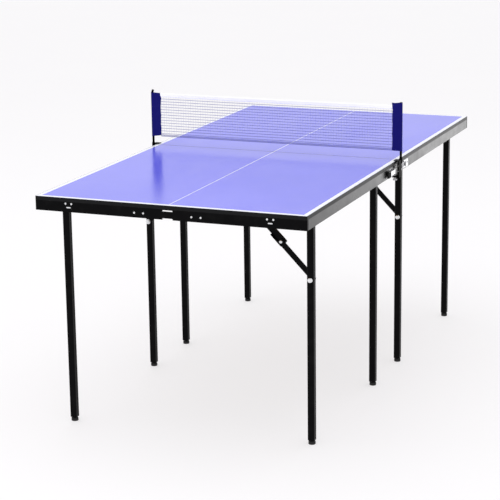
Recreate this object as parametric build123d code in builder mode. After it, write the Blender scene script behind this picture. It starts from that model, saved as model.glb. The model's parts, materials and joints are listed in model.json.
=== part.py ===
from build123d import *

import os
from math import atan2, degrees, sqrt

# A folding ping pong table: two equal half tables that meet at the net line, four folding
# leg frames, two side latches and a clamp-on net.
# Frame: origin on the floor under the middle of the net, +X across the table,
# +Y along it and +Z up. All lengths are in millimetres.

# ---------------------------------------------------------------- table and frame
TABLE_LENGTH = 1800.0
TABLE_WIDTH = 900.0
TABLE_HEIGHT = 770.0
HALF_GAP = 1.0
BOARD_THICKNESS = 12.0
EDGE_BAND = 1.0
NET_CORNER_RADIUS = 8.0
END_CORNER_RADIUS = 3.0
APRON_HEIGHT = 32.5
APRON_SHEET = 1.5
APRON_FLANGE = 12.0
APRON_LIP = 8.0
GUSSET_SIDE = 60.0

HALF_LENGTH = (TABLE_LENGTH - HALF_GAP) / 2
HALF_CENTRE = (HALF_LENGTH + HALF_GAP) / 2
BOARD_BOTTOM = TABLE_HEIGHT - BOARD_THICKNESS
APRON_BOTTOM = BOARD_BOTTOM - APRON_HEIGHT
FLANGE_BOTTOM = BOARD_BOTTOM - APRON_SHEET
SIDE_FACE = TABLE_WIDTH / 2
END_FACE = HALF_LENGTH / 2

# Slots and rivets of the end apron, measured across from the middle of the table.
CENTRE_SLOT = (35.0, 4.0)
CENTRE_SLOT_Z = BOARD_BOTTOM - 4.5
NOTCH_DEPTH = 4.5
OUTER_FITTING_X = 334.0
OUTER_RIVET_SPACING = 20.0
OUTER_RIVET_Z = BOARD_BOTTOM - 6.0
OUTER_SLOT = (15.0, 4.0)
OUTER_SLOT_Z = APRON_BOTTOM + 14.5
TAB_PLATE = (24.0, 7.8)
TAB_PROUD = 0.4
INNER_FITTING_X = 95.0
INNER_RIVET_SPACING = 30.0
INNER_RIVET_Z = APRON_BOTTOM + 15.0
RIVET_RADIUS = 2.0
RIVET_HEAD_RADIUS = 3.4

# ---------------------------------------------------------------- leg frames
LEG_TUBE = 22.0
LEG_WALL = 1.2
LEG_CORNER = 3.0
WELD_GAP = 0.1
LEG_INSET = 49.0
LEG_HALF_SPAN = 308.0
LEG_STAGGER = 27.0
LEG_BOTTOM = 14.0
PLUG_HEIGHT = 30.0
FOOT_RADIUS = 11.5
FOOT_HEIGHT = 11.0
STUD_RADIUS = 4.0
STUD_TOP = 40.0
RUNNING_FIT = 0.05

PIVOT_X = SIDE_FACE - LEG_INSET
PIVOT_Z = BOARD_BOTTOM - 5.0 - LEG_TUBE / 2
LEG_TOP = PIVOT_Z + LEG_TUBE / 2
OUTER_LEG_Y = -LEG_HALF_SPAN + LEG_STAGGER
INNER_LEG_Y = LEG_HALF_SPAN + LEG_STAGGER
SADDLE_SHEET = 2.5
SADDLE_WIDTH = 30.0
SADDLE_FOOT = 20.0
SADDLE_BOTTOM = PIVOT_Z - 14.0
SADDLE_GAP = 0.5

# ---------------------------------------------------------------- folding brace
# P is the fold pivot, Q the brace bolt on the leg, R the brace pivot under the board and
# S the middle rivet. R, S and Q are in line with the legs down, and again with them folded.
BRACE_BOLT_Z = 532.0
BRACE_DROP = PIVOT_Z - BRACE_BOLT_Z
BRACE_REACH = 205.6
BRACE_LENGTH = sqrt(BRACE_DROP**2 + BRACE_REACH**2)
LOWER_LINK = (BRACE_LENGTH + BRACE_DROP - BRACE_REACH) / 2
UPPER_LINK = BRACE_LENGTH - LOWER_LINK
BRACE_PIVOT_X = PIVOT_X - BRACE_REACH
BRACE_DIRECTION = Vector(-BRACE_REACH, 0, BRACE_DROP).normalized()
BRACE_Y = OUTER_LEG_Y + LEG_TUBE / 2

# Layers of the brace, counted from the inner face of its leg.
SPACER_TOP = 3.2
LOWER_BAR = (3.5, 6.5)
WASHER = (6.8, 8.0)
NUT_TOP = 12.0
BOLT_END = 12.7
CUP_BOTTOM = 7.0
STUD_HEAD = (13.9, 16.2)
UPPER_BAR = (16.5, 18.5)
BRACKET = (18.8, 21.3)

LOWER_LINK_WIDTH = 18.0
UPPER_LINK_WIDTH = 21.0
CUP_WIDTH = 25.0
CUP_WALL = 1.5
CUP_BEFORE_RIVET = 40.0
CUP_PAST_RIVET = 11.6
BOLT_RADIUS = 4.0
BOLT_HEAD_RADIUS = 8.5
BOLT_HEAD_HEIGHT = 5.0

# ---------------------------------------------------------------- side latch
LATCH_SHEET = 1.5
LATCH_Z = APRON_BOTTOM + APRON_HEIGHT / 2
LATCH_HEIGHT = 27.5
LATCH_BASE_Y = (-112.0, -34.0)
LATCH_KEEPER_Y = (46.0, 112.0)
LATCH_PIN_X = SIDE_FACE + 5.5
LATCH_PIN_Y = -62.0
LATCH_PIN_RADIUS = 1.5
LATCH_THROW = 4.0
LOOP_WIRE_RADIUS = 1.0
LOOP_HALF_HEIGHT = 8.9
LOOP_END_Y = 76.5
EAR_OUT = 4.5
EAR_WIDTH = 4.6
LEVER_CHEEK_OUT = 7.5
LEVER_FACE_X = SIDE_FACE + 9.5
LEVER_END_Y = -110.0
GRIP_END_Y = -132.0
GRIP_HEIGHT = 24.0

# ---------------------------------------------------------------- net
POST_RADIUS = 4.0
POST_X = SIDE_FACE + 9.5
POST_BOTTOM = BOARD_BOTTOM
POST_BEND_Z = 957.5
POST_TIP = (-3.0, 966.0)
CLAMP_SHEET = 2.0
CLAMP_X = SIDE_FACE + 11.0
CLAMP_Y = (-30.0, -4.0)
CLAMP_JAW_REACH = 20.0
CLAMP_JAW_Z = APRON_BOTTOM - 12.5
CLAMP_TUBE = (757.0, 777.0)
SCREW_X = SIDE_FACE - 5.5
SCREW_Y = -17.0
SCREW_RADIUS = 3.0
SCREW_PAD_RADIUS = 6.0
NET_HALF_WIDTH = 426.0
NET_BOTTOM = 800.0
NET_TOP = 955.0
NET_THICKNESS = 3.0
SLEEVE_TOP = 957.0
SLEEVE_RADIUS = 5.6
SLEEVE_THICKNESS = 4.0

# ---------------------------------------------------------------- places
TURNED = Location((0, 0, 0), (0, 0, 180))
HALVES = {
    "near": Location((0, -HALF_CENTRE, 0)),
    "far": Location((0, HALF_CENTRE, 0), (0, 0, 180)),
}
LEG_PLACES = {
    "near_right": HALVES["near"],
    "near_left": HALVES["near"] * TURNED,
    "far_left": HALVES["far"],
    "far_right": HALVES["far"] * TURNED,
}
SIDES = {"right": Location(), "left": TURNED}


def join(*builders):
    """One group of the separate solids of several builders."""
    return Compound([solid for builder in builders for solid in builder.part.solids()])


def write(piece, name, *places):
    """Put a piece in its place, or in several, label it and write its STEP file."""
    placed = Compound([solid.moved(place) for place in places for solid in piece.solids()])
    placed.label = name
    export_step(placed, f"parts/{name}.step")


# ================================================================ half table
# The pieces of a half table are drawn about its own middle, with +Y towards the net.
def board_outline():
    """The outline of a half table, rounded at the net line and nearly square at the end."""
    Rectangle(TABLE_WIDTH, HALF_LENGTH)
    fillet(vertices().group_by(Axis.Y)[-1], NET_CORNER_RADIUS)
    fillet(vertices().group_by(Axis.Y)[0], END_CORNER_RADIUS)


def make_board():
    """The playing board."""
    with BuildPart() as board:
        with BuildSketch(Plane.XY.offset(BOARD_BOTTOM)):
            board_outline()
            offset(amount=-EDGE_BAND, mode=Mode.REPLACE)
        extrude(amount=BOARD_THICKNESS)
    return board.part


def make_edge_band():
    """The thin band glued around the board's edge."""
    with BuildPart() as band:
        with BuildSketch(Plane.XY.offset(BOARD_BOTTOM)):
            board_outline()
            offset(amount=-EDGE_BAND, mode=Mode.SUBTRACT)
        extrude(amount=BOARD_THICKNESS)
    return band.part


def apron_section(middle, size):
    """The part of the folded-sheet apron ring that lies inside a rectangle."""
    layers = (
        (APRON_BOTTOM, APRON_HEIGHT, APRON_SHEET),
        (FLANGE_BOTTOM, APRON_SHEET, APRON_FLANGE),
        (APRON_BOTTOM, APRON_SHEET, APRON_LIP),
    )
    for bottom, height, width in layers:
        with BuildSketch(Plane.XY.offset(bottom)) as ring:
            board_outline()
            offset(amount=-width, mode=Mode.SUBTRACT)
        extrude(ring.sketch, amount=height)
    with BuildSketch(Plane.XY) as window:
        with Locations(middle):
            Rectangle(*size)
    extrude(window.sketch, amount=TABLE_HEIGHT, mode=Mode.INTERSECT)


def fitting_places():
    """Across and up positions of every rivet in the end apron."""
    places = []
    for side in (-1, 1):
        for x, spacing, z in (
            (OUTER_FITTING_X, OUTER_RIVET_SPACING, OUTER_RIVET_Z),
            (INNER_FITTING_X, INNER_RIVET_SPACING, INNER_RIVET_Z),
        ):
            places += [(side * x - spacing / 2, z), (side * x + spacing / 2, z)]
    return places


def make_end_apron():
    """The apron at the player's end, with its slots, rivet holes and bottom notch."""
    with BuildPart() as apron:
        apron_section((0, -END_FACE), (TABLE_WIDTH, 2 * APRON_FLANGE))
        with BuildSketch(Plane.XZ.offset(END_FACE)):
            with Locations((0, CENTRE_SLOT_Z)):
                SlotOverall(*CENTRE_SLOT)
            with Locations((-OUTER_FITTING_X, OUTER_SLOT_Z), (OUTER_FITTING_X, OUTER_SLOT_Z)):
                SlotOverall(*OUTER_SLOT)
            with Locations(*fitting_places()):
                Circle(RIVET_RADIUS + RUNNING_FIT)
        extrude(amount=-2 * APRON_SHEET, mode=Mode.SUBTRACT)
        with BuildSketch(Plane.XZ.offset(END_FACE)):
            with Locations((0, APRON_BOTTOM)):
                RectangleRounded(CENTRE_SLOT[0], 2 * NOTCH_DEPTH, 2.0)
        extrude(amount=-APRON_FLANGE, mode=Mode.SUBTRACT)
    return apron.part


def make_net_apron():
    """The apron along the net line."""
    with BuildPart() as apron:
        apron_section((0, END_FACE), (TABLE_WIDTH, 2 * APRON_FLANGE))
    return apron.part


def make_side_apron():
    """The right-hand apron, between the end apron and the net apron."""
    with BuildPart() as apron:
        apron_section((SIDE_FACE, 0), (2 * APRON_FLANGE, HALF_LENGTH - 2 * APRON_FLANGE))
    return apron.part


def make_gussets():
    """Four flat triangles that tie the aprons' top flanges together at the corners."""
    inset = APRON_SHEET
    with BuildPart() as gussets:
        with BuildSketch(Plane.XY.offset(FLANGE_BOTTOM - APRON_SHEET)):
            for x_side in (-1, 1):
                for y_side in (-1, 1):
                    corner_x = x_side * (SIDE_FACE - inset)
                    corner_y = y_side * (END_FACE - inset)
                    with BuildLine():
                        Polyline(
                            (corner_x - x_side * NET_CORNER_RADIUS, corner_y),
                            (corner_x - x_side * GUSSET_SIDE, corner_y),
                            (corner_x, corner_y - y_side * GUSSET_SIDE),
                            (corner_x, corner_y - y_side * NET_CORNER_RADIUS),
                            close=True,
                        )
                    make_face()
        extrude(amount=APRON_SHEET)
    return gussets.part


def make_cleats():
    """Four angle cleats that the end apron's rivets hold under the board."""
    back = END_FACE - APRON_SHEET
    with BuildPart() as cleats:
        for side in (-1, 1):
            for x, width, bottom in (
                (OUTER_FITTING_X, 36.0, OUTER_SLOT_Z + 4.0),
                (INNER_FITTING_X, 46.0, INNER_RIVET_Z - 6.0),
            ):
                with BuildSketch(Plane.YZ.offset(side * x - width / 2)):
                    with BuildLine():
                        Polyline(
                            (-back, bottom),
                            (-back + 1.5, bottom),
                            (-back + 1.5, FLANGE_BOTTOM - 1.5),
                            (-back + 28.0, FLANGE_BOTTOM - 1.5),
                            (-back + 28.0, FLANGE_BOTTOM),
                            (-back, FLANGE_BOTTOM),
                            close=True,
                        )
                    make_face()
                extrude(amount=width)
        with BuildSketch(Plane.XZ.offset(END_FACE)):
            with Locations(*fitting_places()):
                Circle(RIVET_RADIUS + RUNNING_FIT)
        extrude(amount=-3 * APRON_SHEET, mode=Mode.SUBTRACT)
    return cleats.part


def make_slot_tabs():
    """Two zinc tabs behind the end apron, each pressed out through an outer slot."""
    places = [(side * OUTER_FITTING_X, OUTER_SLOT_Z) for side in (-1, 1)]
    fit = 2 * RUNNING_FIT
    with BuildPart() as tabs:
        with BuildSketch(Plane.XZ.offset(END_FACE - 2 * APRON_SHEET)):
            with Locations(*places):
                Rectangle(*TAB_PLATE)
        extrude(amount=APRON_SHEET)
        with BuildSketch(Plane.XZ.offset(END_FACE - APRON_SHEET)):
            with Locations(*places):
                SlotOverall(OUTER_SLOT[0] - fit, OUTER_SLOT[1] - fit)
        extrude(amount=APRON_SHEET + TAB_PROUD)
    return tabs.part


def make_apron_rivets():
    """The dome-headed rivets of the end apron."""
    with BuildPart() as rivets:
        with BuildSketch(Plane.XZ.offset(END_FACE)):
            with Locations(*fitting_places()):
                Circle(RIVET_HEAD_RADIUS)
        extrude(amount=1.6)
        fillet(rivets.edges().filter_by(GeomType.CIRCLE).group_by(Axis.Y)[0], 1.2)
        with BuildSketch(Plane.XZ.offset(END_FACE)):
            with Locations(*fitting_places()):
                Circle(RIVET_RADIUS)
        extrude(amount=-2 * APRON_SHEET - 1.0)
    return rivets.part


# ================================================================ pivots under the board
# The pivots, the leg frame and its brace are drawn for the right side of a half table.
def angle_bracket(x, y_face, y_side):
    """An angle bracket under the board: a plate across Y with a foot that points to y_side."""
    with BuildSketch(Plane.XZ.offset(-y_face)) as plate:
        with Locations((x, (SADDLE_BOTTOM + BOARD_BOTTOM) / 2)):
            RectangleRounded(SADDLE_WIDTH, BOARD_BOTTOM - SADDLE_BOTTOM, 6.0)
        with Locations((x, BOARD_BOTTOM - 5.0)):
            Rectangle(SADDLE_WIDTH, 10.0)
    extrude(plate.sketch, amount=-y_side * SADDLE_SHEET)
    with BuildSketch(Plane.XY.offset(BOARD_BOTTOM - SADDLE_SHEET)) as foot:
        with Locations((x, y_face + y_side * SADDLE_FOOT / 2)):
            Rectangle(SADDLE_WIDTH, SADDLE_FOOT)
    extrude(foot.sketch, amount=SADDLE_SHEET)


def saddle_faces():
    """The inner face of each fold saddle, and the way that its foot points."""
    clear = LEG_TUBE / 2 + SADDLE_GAP
    return ((OUTER_LEG_Y - clear, -1), (INNER_LEG_Y + clear, 1))


def make_saddles():
    """The two saddles that carry one leg frame's fold pivots."""
    with BuildPart() as saddles:
        for y_face, y_side in saddle_faces():
            angle_bracket(PIVOT_X, y_face, y_side)
        with BuildSketch(Plane.XZ.offset(-INNER_LEG_Y - 2 * LEG_TUBE)):
            with Locations((PIVOT_X, PIVOT_Z)):
                Circle(STUD_RADIUS + RUNNING_FIT)
        extrude(amount=2 * LEG_HALF_SPAN + 4 * LEG_TUBE, mode=Mode.SUBTRACT)
    return saddles.part


def make_brace_bracket():
    """The bracket that carries the brace's upper pivot."""
    with BuildPart() as bracket:
        angle_bracket(BRACE_PIVOT_X, BRACE_Y + BRACKET[0], 1)
        with BuildSketch(Plane.XZ.offset(-BRACE_Y - BRACKET[1])):
            with Locations((BRACE_PIVOT_X, PIVOT_Z)):
                Circle(STUD_RADIUS + RUNNING_FIT)
        extrude(amount=2 * SADDLE_SHEET, mode=Mode.SUBTRACT)
    return bracket.part


def round_bar(x, z, y_low, y_high, radius):
    """A round bar along Y."""
    with BuildSketch(Plane.XZ.offset(-y_low)) as disc:
        with Locations((x, z)):
            Circle(radius)
    extrude(disc.sketch, amount=y_low - y_high)


def make_pivot_pins():
    """The two fold pins and the brace's pivot stud."""
    head_height = 2.0
    reach = LEG_TUBE / 2 + SADDLE_GAP
    with BuildPart() as pins:
        for y_face, y_side in saddle_faces():
            y_back = y_face + y_side * SADDLE_SHEET
            y_ends = sorted((y_back, y_face - y_side * reach))
            round_bar(PIVOT_X, PIVOT_Z, *y_ends, STUD_RADIUS)
            y_ends = sorted((y_back, y_back + y_side * head_height))
            round_bar(PIVOT_X, PIVOT_Z, *y_ends, 6.5)
        shank = (BRACE_Y + STUD_HEAD[1], BRACE_Y + BRACKET[1])
        round_bar(BRACE_PIVOT_X, PIVOT_Z, *shank, STUD_RADIUS)
        round_bar(BRACE_PIVOT_X, PIVOT_Z, BRACE_Y + STUD_HEAD[0], shank[0], 7.0)
        round_bar(BRACE_PIVOT_X, PIVOT_Z, shank[1], shank[1] + head_height, 6.5)
    return pins.part


# ================================================================ leg frame
def make_leg_frame():
    """Two square-tube legs, their cross tube at the top and the plugs in their ends."""
    with BuildPart() as tubes:
        for y in (OUTER_LEG_Y, INNER_LEG_Y):
            with BuildSketch(Plane.XY.offset(LEG_BOTTOM)):
                with Locations((PIVOT_X, y)):
                    RectangleRounded(LEG_TUBE, LEG_TUBE, LEG_CORNER)
                    hollow = LEG_TUBE - 2 * LEG_WALL
                    RectangleRounded(hollow, hollow, LEG_CORNER - LEG_WALL, mode=Mode.SUBTRACT)
            extrude(amount=LEG_TOP - LEG_BOTTOM)
        with BuildSketch(Plane.XZ.offset(-INNER_LEG_Y - LEG_TUBE)):
            with Locations((PIVOT_X, PIVOT_Z)):
                Circle(STUD_RADIUS + RUNNING_FIT)
        extrude(amount=2 * LEG_HALF_SPAN + 2 * LEG_TUBE, mode=Mode.SUBTRACT)
        with BuildSketch(Plane.XZ.offset(-OUTER_LEG_Y - LEG_TUBE)):
            with Locations((PIVOT_X, BRACE_BOLT_Z)):
                Circle(BOLT_RADIUS + RUNNING_FIT)
        extrude(amount=2 * LEG_TUBE, mode=Mode.SUBTRACT)
    with BuildPart() as cross_tube:
        with BuildSketch(Plane.XZ.offset(-OUTER_LEG_Y - LEG_TUBE / 2 - WELD_GAP)):
            with Locations((PIVOT_X, PIVOT_Z)):
                RectangleRounded(LEG_TUBE, LEG_TUBE, LEG_CORNER)
                hollow = LEG_TUBE - 2 * LEG_WALL
                RectangleRounded(hollow, hollow, LEG_CORNER - LEG_WALL, mode=Mode.SUBTRACT)
        extrude(amount=-(2 * LEG_HALF_SPAN - LEG_TUBE - 2 * WELD_GAP))
    with BuildPart() as plugs:
        with BuildSketch(Plane.XY.offset(LEG_BOTTOM)):
            with Locations((PIVOT_X, OUTER_LEG_Y), (PIVOT_X, INNER_LEG_Y)):
                side = LEG_TUBE - 2 * LEG_WALL - 0.1
                RectangleRounded(side, side, LEG_CORNER - LEG_WALL)
                Circle(STUD_RADIUS + RUNNING_FIT, mode=Mode.SUBTRACT)
        extrude(amount=PLUG_HEIGHT)
    return join(tubes, cross_tube, plugs)


def make_foot(y):
    """A screw-in levelling foot."""
    with BuildPart() as foot:
        with BuildSketch():
            with Locations((PIVOT_X, y)):
                Circle(FOOT_RADIUS)
        extrude(amount=FOOT_HEIGHT)
        rims = foot.edges().filter_by(GeomType.CIRCLE)
        fillet(rims.group_by(Axis.Z)[-1], 3.0)
        fillet(rims.group_by(Axis.Z)[0], 1.5)
        with BuildSketch(Plane.XY.offset(FOOT_HEIGHT)):
            with Locations((PIVOT_X, y)):
                Circle(STUD_RADIUS)
        extrude(amount=STUD_TOP - FOOT_HEIGHT)
    return foot.part


def make_brace_bolt():
    """The brace's mushroom-headed bolt, with its spacer, washer and nut."""
    leg_face = OUTER_LEG_Y - LEG_TUBE / 2
    place = (PIVOT_X, BRACE_BOLT_Z)
    with BuildPart() as bolt:
        round_bar(*place, leg_face - BOLT_HEAD_HEIGHT, leg_face, BOLT_HEAD_RADIUS)
        fillet(bolt.edges().filter_by(GeomType.CIRCLE).group_by(Axis.Y)[0], 4.2)
        round_bar(*place, leg_face, BRACE_Y + BOLT_END, BOLT_RADIUS)
    with BuildPart() as rings:
        round_bar(*place, BRACE_Y, BRACE_Y + SPACER_TOP, 7.0)
        round_bar(*place, BRACE_Y + WASHER[0], BRACE_Y + WASHER[1], BOLT_HEAD_RADIUS)
        with BuildSketch(Plane.XZ.offset(-BRACE_Y - WASHER[1])):
            with Locations(place):
                RegularPolygon(6.5, 6, major_radius=False)
        extrude(amount=WASHER[1] - NUT_TOP)
        with BuildSketch(Plane.XZ.offset(-BRACE_Y)):
            with Locations(place):
                Circle(BOLT_RADIUS + RUNNING_FIT)
        extrude(amount=-BOLT_END, mode=Mode.SUBTRACT)
    return join(bolt, rings)


def link_plane(x, z, layer, towards):
    """A plane across Y at a pivot, at a layer of the brace, with its X towards a direction."""
    return Plane(origin=(x, BRACE_Y + layer, z), x_dir=towards, z_dir=(0, -1, 0))


def make_lower_link():
    """The flat lower bar of the brace, from the leg's bolt to the middle rivet."""
    thickness = LOWER_BAR[1] - LOWER_BAR[0]
    with BuildPart() as link:
        with BuildSketch(link_plane(PIVOT_X, BRACE_BOLT_Z, LOWER_BAR[0], BRACE_DIRECTION)):
            with Locations((LOWER_LINK / 2, 0)):
                SlotCenterToCenter(LOWER_LINK, LOWER_LINK_WIDTH)
            Circle(BOLT_RADIUS + 0.08, mode=Mode.SUBTRACT)
        extrude(amount=-thickness)
        with BuildSketch(link_plane(PIVOT_X, BRACE_BOLT_Z, LOWER_BAR[0], BRACE_DIRECTION)):
            with Locations((LOWER_LINK, 0)):
                Circle(5.0)
        extrude(amount=2.4, taper=30)
    return link.part


def make_upper_link():
    """The upper bar of the brace, with the cup that closes over the lower bar."""
    cup_length = CUP_BEFORE_RIVET + CUP_PAST_RIVET
    cup_middle = UPPER_LINK + (CUP_PAST_RIVET - CUP_BEFORE_RIVET) / 2
    plane = link_plane(BRACE_PIVOT_X, PIVOT_Z, UPPER_BAR[0], -BRACE_DIRECTION)
    with BuildPart() as link:
        with BuildSketch(plane):
            with Locations((UPPER_LINK / 2, 0)):
                SlotCenterToCenter(UPPER_LINK, UPPER_LINK_WIDTH)
            with Locations((cup_middle, 0)):
                RectangleRounded(cup_length, CUP_WIDTH, 3.0)
            Circle(STUD_RADIUS + 0.08, mode=Mode.SUBTRACT)
        extrude(amount=UPPER_BAR[0] - UPPER_BAR[1])
        with BuildSketch(plane):
            with Locations((cup_middle, 0)):
                RectangleRounded(cup_length, CUP_WIDTH, 3.0)
                Rectangle(cup_length + 2.0, CUP_WIDTH - 2 * CUP_WALL, mode=Mode.SUBTRACT)
        extrude(amount=UPPER_BAR[0] - CUP_BOTTOM)
        with BuildSketch(plane):
            with Locations((UPPER_LINK, 0)):
                Circle(5.0)
        extrude(amount=UPPER_BAR[0] - WASHER[0])
    return link.part


# ================================================================ side latch
# The latch is drawn on the right side, across the net line. The left one is turned.
def latch_plate(y_low, y_high):
    """A rounded plate on the face of the side apron."""
    with BuildSketch(Plane.YZ.offset(SIDE_FACE)) as plate:
        with Locations(((y_low + y_high) / 2, LATCH_Z)):
            RectangleRounded(y_high - y_low, LATCH_HEIGHT, 9.0)
    extrude(plate.sketch, amount=LATCH_SHEET)
    with BuildSketch(Plane.YZ.offset(SIDE_FACE + LATCH_SHEET)) as rivet_heads:
        with Locations((y_low + 7.0, LATCH_Z), (y_high - 7.0, LATCH_Z)):
            Circle(3.0)
    extrude(rivet_heads.sketch, amount=1.2, taper=25)


def upright_bar(x, y, z_low, z_high, radius, mode=Mode.ADD):
    """A round bar along Z."""
    with BuildSketch(Plane.XY.offset(z_low)) as disc:
        with Locations((x, y)):
            Circle(radius)
    extrude(disc.sketch, amount=z_high - z_low, mode=mode)


def make_latch_base():
    """The latch's base plate, its two ears and the lever's pin."""
    ear_sheet = 1.5
    with BuildPart() as base:
        latch_plate(*LATCH_BASE_Y)
        for z in (LATCH_Z - EAR_OUT, LATCH_Z + EAR_OUT - ear_sheet):
            with BuildSketch(Plane.XY.offset(z)):
                with Locations(((SIDE_FACE + LATCH_SHEET + LATCH_PIN_X) / 2, LATCH_PIN_Y)):
                    Rectangle(LATCH_PIN_X - SIDE_FACE - LATCH_SHEET, EAR_WIDTH)
                with Locations((LATCH_PIN_X, LATCH_PIN_Y)):
                    Circle(EAR_WIDTH / 2)
                    Circle(LATCH_PIN_RADIUS + RUNNING_FIT, mode=Mode.SUBTRACT)
            extrude(amount=ear_sheet)
    pin_reach = LEVER_CHEEK_OUT + 0.2
    with BuildPart() as pin:
        pin_ends = (LATCH_Z - pin_reach, LATCH_Z + pin_reach)
        upright_bar(LATCH_PIN_X, LATCH_PIN_Y, *pin_ends, LATCH_PIN_RADIUS)
    return join(base, pin)


def make_latch_lever():
    """The latch's lever, a channel that straddles the base's ears."""
    tip_y = LATCH_PIN_Y + 2.8
    length = tip_y - LEVER_END_Y
    back_x = SIDE_FACE + 3.0
    with BuildPart() as lever:
        with BuildSketch(Plane.XY.offset(LATCH_Z - LEVER_CHEEK_OUT)):
            with Locations(((back_x + LEVER_FACE_X) / 2, tip_y - length / 2)):
                RectangleRounded(LEVER_FACE_X - back_x, length, 1.5)
        extrude(amount=2 * LEVER_CHEEK_OUT)
        with BuildSketch(Plane.XY.offset(LATCH_Z - LEVER_CHEEK_OUT + 1.5)):
            with Locations(((back_x + LEVER_FACE_X) / 2 - 1.3, tip_y - length / 2)):
                Rectangle(LEVER_FACE_X - back_x, length + 1.0)
        extrude(amount=2 * LEVER_CHEEK_OUT - 3.0, mode=Mode.SUBTRACT)
        ends = (LATCH_Z - 10.0, LATCH_Z + 10.0)
        pin_bore = LATCH_PIN_RADIUS + 0.06
        loop_bore = LOOP_WIRE_RADIUS + 0.06
        upright_bar(LATCH_PIN_X, LATCH_PIN_Y, *ends, pin_bore, Mode.SUBTRACT)
        upright_bar(LATCH_PIN_X, LATCH_PIN_Y - LATCH_THROW, *ends, loop_bore, Mode.SUBTRACT)
    return lever.part


def make_latch_grip():
    """The moulded grip on the end of the lever."""
    depth = LEVER_FACE_X + 1.0 - (SIDE_FACE + 3.0)
    with BuildPart() as grip:
        with BuildSketch(Plane.XZ.offset(-LEVER_END_Y)):
            with Locations((SIDE_FACE + 3.0 + depth / 2, LATCH_Z)):
                RectangleRounded(depth, GRIP_HEIGHT, 2.5)
        extrude(amount=LEVER_END_Y - GRIP_END_Y)
        fillet(grip.faces().sort_by(Axis.Y)[0].edges(), 2.0)
    return grip.part


def make_latch_loop():
    """The wire loop that the lever pulls over the keeper."""
    low = LATCH_Z - LOOP_HALF_HEIGHT
    high = LATCH_Z + LOOP_HALF_HEIGHT
    start_y = LATCH_PIN_Y - LATCH_THROW
    stub = 2.7
    with BuildPart() as loop:
        with BuildLine():
            FilletPolyline(
                (LATCH_PIN_X, start_y, low + stub),
                (LATCH_PIN_X, start_y, low),
                (LATCH_PIN_X, LOOP_END_Y, low),
                (LATCH_PIN_X, LOOP_END_Y, high),
                (LATCH_PIN_X, start_y, high),
                (LATCH_PIN_X, start_y, high - stub),
                radius=[1.3, 3.0, 3.0, 1.3],
            )
        with BuildSketch(Plane(origin=(LATCH_PIN_X, start_y, low + stub), z_dir=(0, 0, -1))):
            Circle(LOOP_WIRE_RADIUS)
        sweep()
    return loop.part


def make_latch_keeper():
    """The keeper plate on the other half, with the rib that the loop goes behind."""
    rib = (4.0, 14.4)
    rib_y = LOOP_END_Y - LOOP_WIRE_RADIUS - 0.5 - rib[0] / 2
    with BuildPart() as keeper:
        latch_plate(*LATCH_KEEPER_Y)
        with BuildSketch(Plane.YZ.offset(SIDE_FACE + LATCH_SHEET)):
            with Locations((rib_y, LATCH_Z)):
                RectangleRounded(*rib, 1.5)
        extrude(amount=4.7)
    return keeper.part


# ================================================================ net
# The net's clamp, post and sleeve are drawn on the right side. The left ones are turned.
def make_net_clamp():
    """The net clamp: a bent plate that grips board and apron, with a tube for the post."""
    jaw_end = CLAMP_X + CLAMP_SHEET - CLAMP_JAW_REACH
    y_middle = sum(CLAMP_Y) / 2
    width = CLAMP_Y[1] - CLAMP_Y[0]
    outside_x = CLAMP_X + CLAMP_SHEET
    with BuildPart() as clamp:
        with BuildSketch(Plane.XZ.offset(-CLAMP_Y[0])):
            with BuildLine():
                Polyline(
                    (jaw_end, TABLE_HEIGHT),
                    (CLAMP_X, TABLE_HEIGHT),
                    (CLAMP_X, CLAMP_JAW_Z + 3.0),
                    (SCREW_X - 7.0, CLAMP_JAW_Z + 3.0),
                    (SCREW_X - 7.0, CLAMP_JAW_Z),
                    (outside_x, CLAMP_JAW_Z),
                    (outside_x, TABLE_HEIGHT + CLAMP_SHEET),
                    (jaw_end, TABLE_HEIGHT + CLAMP_SHEET),
                    close=True,
                )
            make_face()
        extrude(amount=-width)
        tube_height = CLAMP_TUBE[1] - CLAMP_TUBE[0]
        with BuildSketch(Plane.XY.offset(CLAMP_TUBE[0])):
            with Locations((POST_X, 0)):
                Circle(POST_RADIUS + 1.5)
            with Locations((CLAMP_X + CLAMP_SHEET / 2, CLAMP_Y[1])):
                Rectangle(CLAMP_SHEET, 6.0)
        extrude(amount=tube_height)
        upright_bar(POST_X, 0, *CLAMP_TUBE, POST_RADIUS + RUNNING_FIT, Mode.SUBTRACT)
        jaw_hole = (CLAMP_JAW_Z, CLAMP_JAW_Z + 3.0)
        upright_bar(SCREW_X, SCREW_Y, *jaw_hole, SCREW_RADIUS + RUNNING_FIT, Mode.SUBTRACT)
        jaw_tips = clamp.edges().filter_by(Axis.Z).group_by(Axis.X)[0]
        fillet(jaw_tips, 5.0)
    return clamp.part


def make_clamp_screw():
    """The clamp's thumb screw, with its pressure pad and its knurled head."""
    pad_top = APRON_BOTTOM - 0.3
    head = (CLAMP_JAW_Z - 11.0, CLAMP_JAW_Z - 6.0)
    with BuildPart() as screw:
        upright_bar(SCREW_X, SCREW_Y, head[1], pad_top - 3.0, SCREW_RADIUS)
        upright_bar(SCREW_X, SCREW_Y, pad_top - 3.0, pad_top, SCREW_PAD_RADIUS)
        with BuildSketch(Plane.XY.offset(head[0])):
            with Locations((SCREW_X, SCREW_Y)):
                Circle(7.0)
                with PolarLocations(7.4, 16):
                    Circle(0.9, mode=Mode.SUBTRACT)
        extrude(amount=head[1] - head[0])
    return screw.part


def make_net_post():
    """The post rod, with a short bent tip that holds the sleeve."""
    with BuildPart() as post:
        with BuildLine():
            FilletPolyline(
                (POST_X, 0, POST_BOTTOM),
                (POST_X, 0, POST_BEND_Z),
                (POST_X + POST_TIP[0], 0, POST_TIP[1]),
                radius=9.0,
            )
        with BuildSketch(Plane.XY.offset(POST_BOTTOM)):
            with Locations((POST_X, 0)):
                Circle(POST_RADIUS)
        sweep()
    return post.part


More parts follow.
